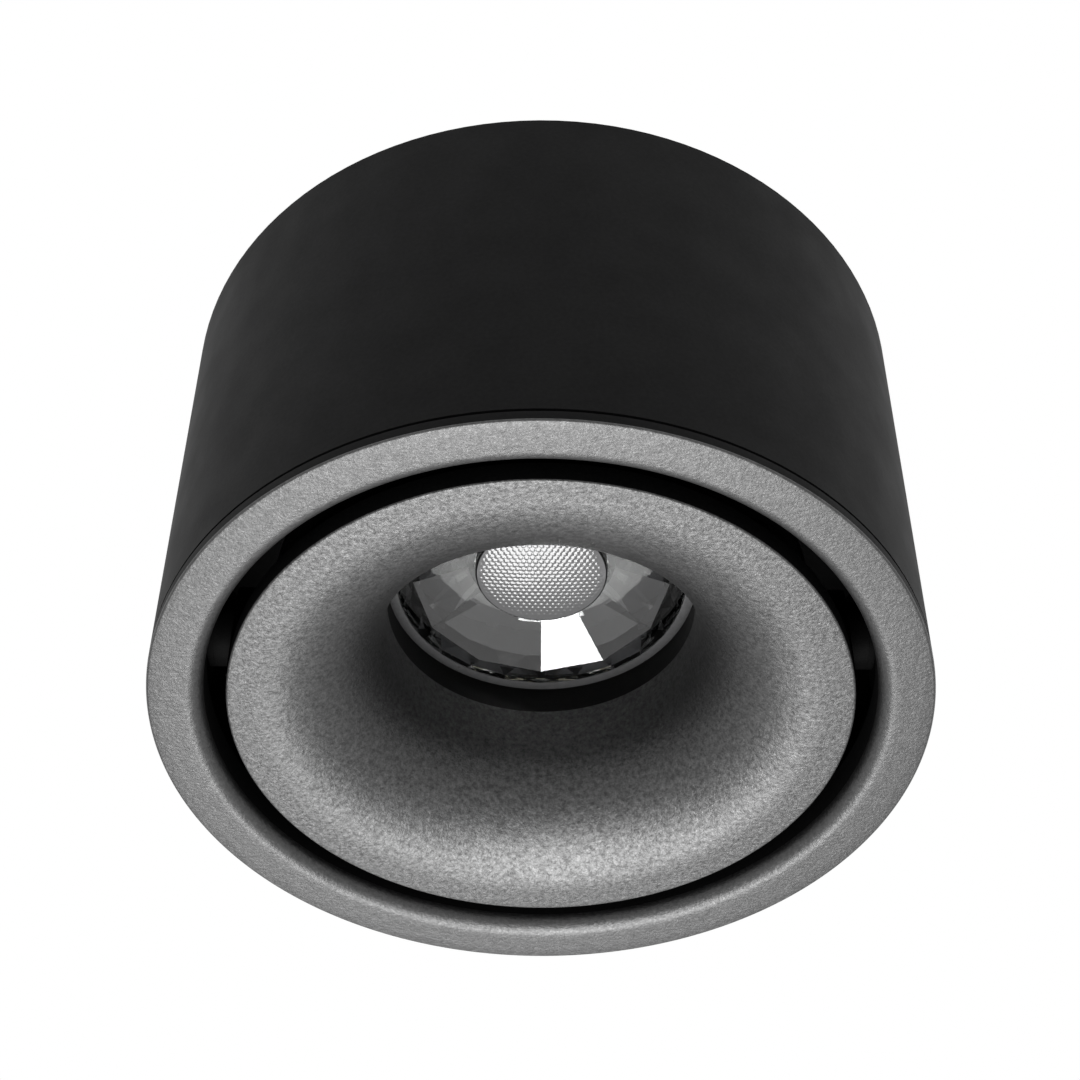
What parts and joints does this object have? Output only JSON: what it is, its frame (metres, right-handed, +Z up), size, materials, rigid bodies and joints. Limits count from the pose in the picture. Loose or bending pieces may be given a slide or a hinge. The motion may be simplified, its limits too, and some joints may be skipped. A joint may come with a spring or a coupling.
{
  "type": "surface mounted ceiling spotlight",
  "caption": "Round black surface mounted ceiling spotlight whose trumpet-shaped lamp head swivels and tilts inside a short cylindrical housing.",
  "frame": {"origin": "middle of the flat top face that meets the ceiling", "axes": "+Z up into the ceiling, the lamp shines along -Z, +X along the tilt axis and the line of the two ceiling screw slots, -Y towards the picture's viewer"},
  "size_m": [0.1, 0.1, 0.061],
  "materials": {
    "black_aluminium": "die cast, black anodised",
    "black_nylon": "acetal",
    "black_plastic": "moulded, satin",
    "black_screw": "black oxide",
    "black_steel": "black oxide",
    "brass": "turned",
    "can_sleeve": "shrunk sleeve",
    "ceramic_green": "coated ceramic",
    "ceramic_white": "ceramic",
    "circuit_board": "solder mask",
    "clear_lens": "clear moulding",
    "clear_sheet": "milky film",
    "coil_tape": "wound with tape",
    "earth_sleeve": "PVC sleeve",
    "ferrite": "sintered",
    "phosphor": "phosphor gel",
    "rubber": "matte",
    "shell_black": "matte black powder coat",
    "textured_black": "fine sand textured black powder coat",
    "thermal_grey": "gap pad",
    "white_plastic": "moulded",
    "wire_sleeve": "PVC sleeve",
    "yellow_plastic": "moulded",
    "zinc_steel": "zinc plated"
  },
  "bodies": {
    "housing": {"housing_shell": "shell_black", "trim_ring": "textured_black", "ceiling_plate": "zinc_steel", "side_screws": "black_screw", "cable_grommet": "rubber", "terminal_block": "white_plastic", "terminal_screws": "brass", "input_wires": "wire_sleeve", "earth_wire": "earth_sleeve", "earth_tag": "brass", "earth_screw": "brass", "driver_case": "black_plastic", "case_screws": "zinc_steel", "insulation_sheet": "clear_sheet", "driver_board": "circuit_board", "fuse_resistor": "ceramic_green", "film_capacitor": "yellow_plastic", "bridge_rectifier": "black_plastic", "bulk_capacitor": "can_sleeve", "transformer_core": "ferrite", "transformer_coil": "coil_tape", "controller_chip": "black_plastic", "output_capacitor": "can_sleeve", "output_choke": "ferrite", "output_socket": "white_plastic", "slip_ring": "black_nylon", "keeper_ring": "zinc_steel"},
    "swivel": {"swivel_ring": "black_steel", "pivot_washers": "black_nylon"},
    "lamp_head": {"pivot_screws": "black_screw", "baffle": "textured_black", "lens_retainer": "black_plastic", "lens": "clear_lens", "led_board": "ceramic_white", "led_emitter": "phosphor", "thermal_pad": "thermal_grey", "led_holder": "white_plastic", "holder_screws": "zinc_steel", "heat_sink": "black_aluminium", "sink_screws": "zinc_steel", "lead_bush": "rubber"}
  },
  "joints": [
    {"name": "swivel_turn", "type": "hinge", "parent": "housing", "child": "swivel", "pos_m": [0, 0, 0], "axis": [0, 0, 1], "range_deg": [-176, 176]},
    {"name": "head_tilt", "type": "hinge", "parent": "swivel", "child": "lamp_head", "pos_m": [0, 0, -0.0457], "axis": [1, 0, 0], "range_deg": [-30, 30]}
  ]
}
